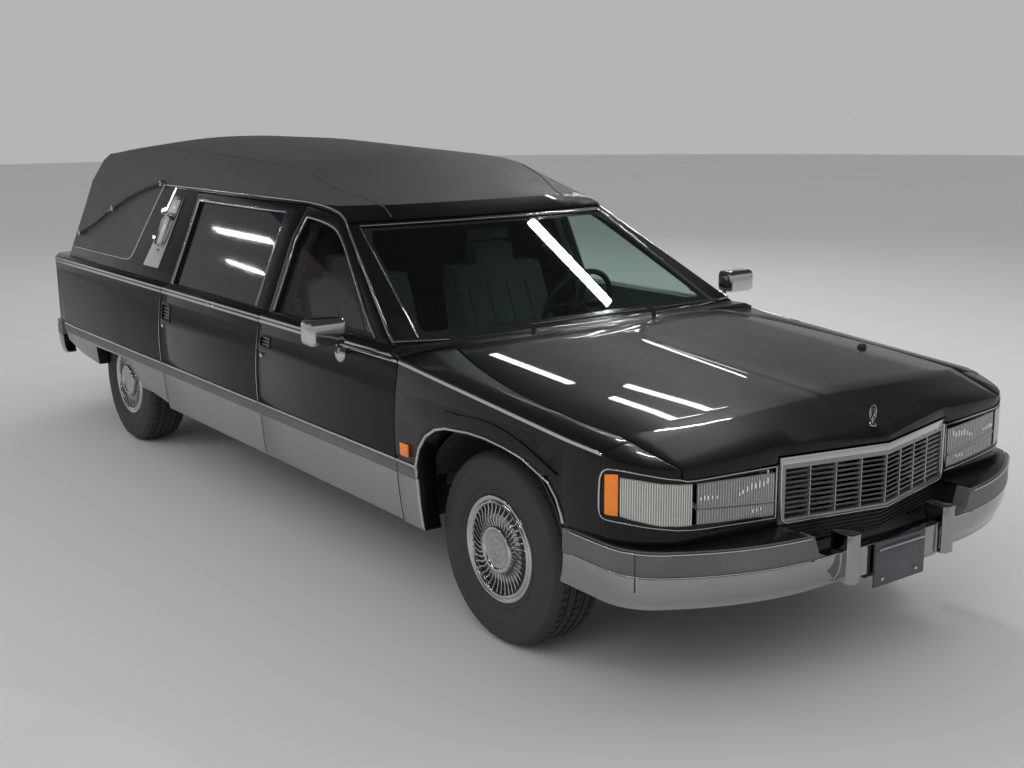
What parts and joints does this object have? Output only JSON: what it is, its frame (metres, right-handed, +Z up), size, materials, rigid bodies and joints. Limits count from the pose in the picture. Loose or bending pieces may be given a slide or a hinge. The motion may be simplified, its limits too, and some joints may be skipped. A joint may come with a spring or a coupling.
{
  "type": "hearse",
  "caption": "Long-wheelbase hearse with four side doors, a rear loading door, landau quarters, turning wheels and working steering.",
  "frame": {"origin": "on the floor under the middle of the car", "axes": "+X forward, +Y to the car's left, +Z up"},
  "size_m": [6.15, 2.438, 1.7521],
  "materials": {
    "black_paint": "gloss black paint",
    "roof_vinyl": "grained charcoal vinyl",
    "clear_glass": "faintly green glass",
    "dark_glass": "dark tinted glass",
    "bright_chrome": "bright plate",
    "grey_trim": "ribbed grey plastic",
    "lamp_lens": "fluted clear cover",
    "amber_lens": "fluted amber plastic",
    "red_lens": "red plastic",
    "lamp_silver": "bright reflector",
    "tyre_rubber": "black sidewall",
    "chassis_black": "satin black",
    "cast_block": "cast grey",
    "exhaust_steel": "dull steel",
    "dark_plastic": "dark grained plastic",
    "seat_cloth": "grey woven cloth",
    "deck_wood": "dark varnished wood"
  },
  "bodies": {
    "body": {"bumper_bands": "grey_trim", "bumper_fillers": "black_paint", "bumpers": "bright_chrome", "carriage_lamps": "bright_chrome", "cowl": "black_paint", "dashboard": "dark_plastic", "door_posts": "chassis_black", "engine_block": "cast_block", "exhaust": "exhaust_steel", "floor_pan": "chassis_black", "frame": "chassis_black", "front_arms": "chassis_black", "front_fender_left": "black_paint", "front_fender_right": "black_paint", "front_plate": "dark_plastic", "fuel_tank": "chassis_black", "grille": "bright_chrome", "lamp_ambers": "amber_lens", "lamp_bowls": "lamp_silver", "lamp_covers": "lamp_lens", "landau_bars": "bright_chrome", "load_deck": "deck_wood", "nose_panel": "black_paint", "propeller_shaft": "chassis_black", "quarter_panel_left": "black_paint", "quarter_panel_right": "black_paint", "radiator": "chassis_black", "rear_axle": "chassis_black", "roof": "roof_vinyl", "seat_backs": "seat_cloth", "seat_cushions": "seat_cloth", "tail_lamps": "red_lens", "wheel_liners": "dark_plastic", "windscreen": "clear_glass", "wipers": "dark_plastic"},
    "hood": {"hood": "black_paint"},
    "door_front_right": {"door_front_right": "black_paint", "glass_front_right": "clear_glass", "mirror_right": "bright_chrome"},
    "door_front_left": {"door_front_left": "black_paint", "glass_front_left": "clear_glass", "mirror_left": "bright_chrome"},
    "door_rear_right": {"door_rear_right": "black_paint", "glass_rear_right": "dark_glass"},
    "door_rear_left": {"door_rear_left": "black_paint", "glass_rear_left": "dark_glass"},
    "loading_door": {"loading_door": "black_paint", "loading_glass": "dark_glass"},
    "knuckle_right": {"knuckle_right": "chassis_black"},
    "knuckle_left": {"knuckle_left": "chassis_black"},
    "wheel_front_right": {"wheel_front_right": "bright_chrome", "tyre_front_right": "tyre_rubber"},
    "wheel_front_left": {"wheel_front_left": "bright_chrome", "tyre_front_left": "tyre_rubber"},
    "wheel_rear_right": {"wheel_rear_right": "bright_chrome", "tyre_rear_right": "tyre_rubber"},
    "wheel_rear_left": {"wheel_rear_left": "bright_chrome", "tyre_rear_left": "tyre_rubber"},
    "steering_wheel": {"steering_wheel": "dark_plastic"}
  },
  "joints": [
    {"name": "steer_right", "type": "hinge", "parent": "body", "child": "knuckle_right", "pos_m": [1.975, -0.66, 0.363], "axis": [0, 0, 1], "range_deg": [-32, 32]},
    {"name": "roll_front_right", "type": "hinge", "parent": "knuckle_right", "child": "wheel_front_right", "pos_m": [1.975, -0.783, 0.363], "axis": [0, 1, 0], "continuous": true},
    {"name": "roll_rear_right", "type": "hinge", "parent": "body", "child": "wheel_rear_right", "pos_m": [-1.765, -0.783, 0.363], "axis": [0, 1, 0], "continuous": true},
    {"name": "swing_front_right", "type": "hinge", "parent": "body", "child": "door_front_right", "pos_m": [1.44, -0.99, 0.7], "axis": [0, 0, 1], "range_deg": [0, 65]},
    {"name": "swing_rear_right", "type": "hinge", "parent": "body", "child": "door_rear_right", "pos_m": [0.217, -0.99, 0.7], "axis": [0, 0, 1], "range_deg": [0, 65]},
    {"name": "steer_left", "type": "hinge", "parent": "body", "child": "knuckle_left", "pos_m": [1.975, 0.66, 0.363], "axis": [0, 0, 1], "range_deg": [-32, 32]},
    {"name": "roll_front_left", "type": "hinge", "parent": "knuckle_left", "child": "wheel_front_left", "pos_m": [1.975, 0.783, 0.363], "axis": [0, 1, 0], "continuous": true},
    {"name": "roll_rear_left", "type": "hinge", "parent": "body", "child": "wheel_rear_left", "pos_m": [-1.765, 0.783, 0.363], "axis": [0, 1, 0], "continuous": true},
    {"name": "swing_front_left", "type": "hinge", "parent": "body", "child": "door_front_left", "pos_m": [1.44, 0.99, 0.7], "axis": [0, 0, -1], "range_deg": [0, 65]},
    {"name": "swing_rear_left", "type": "hinge", "parent": "body", "child": "door_rear_left", "pos_m": [0.217, 0.99, 0.7], "axis": [0, 0, -1], "range_deg": [0, 65]},
    {"name": "column_turn", "type": "hinge", "parent": "body", "child": "steering_wheel", "pos_m": [0.868, 0.385, 0.992], "axis": [-0.9063, 0, 0.4226], "range_deg": [-480, 480]},
    {"name": "hood_lift", "type": "hinge", "parent": "body", "child": "hood", "pos_m": [1.5, 0, 1.046], "axis": [0, -1, 0], "range_deg": [0, 50]},
    {"name": "loading_swing", "type": "hinge", "parent": "body", "child": "loading_door", "pos_m": [-2.85, 0.603, 1], "axis": [0, 0, -1], "range_deg": [0, 90]}
  ],
  "couplings": [
    {"joint": "steer_left", "follows": "steer_right", "ratio": 1},
    {"joint": "column_turn", "follows": "steer_right", "ratio": 15}
  ]
}
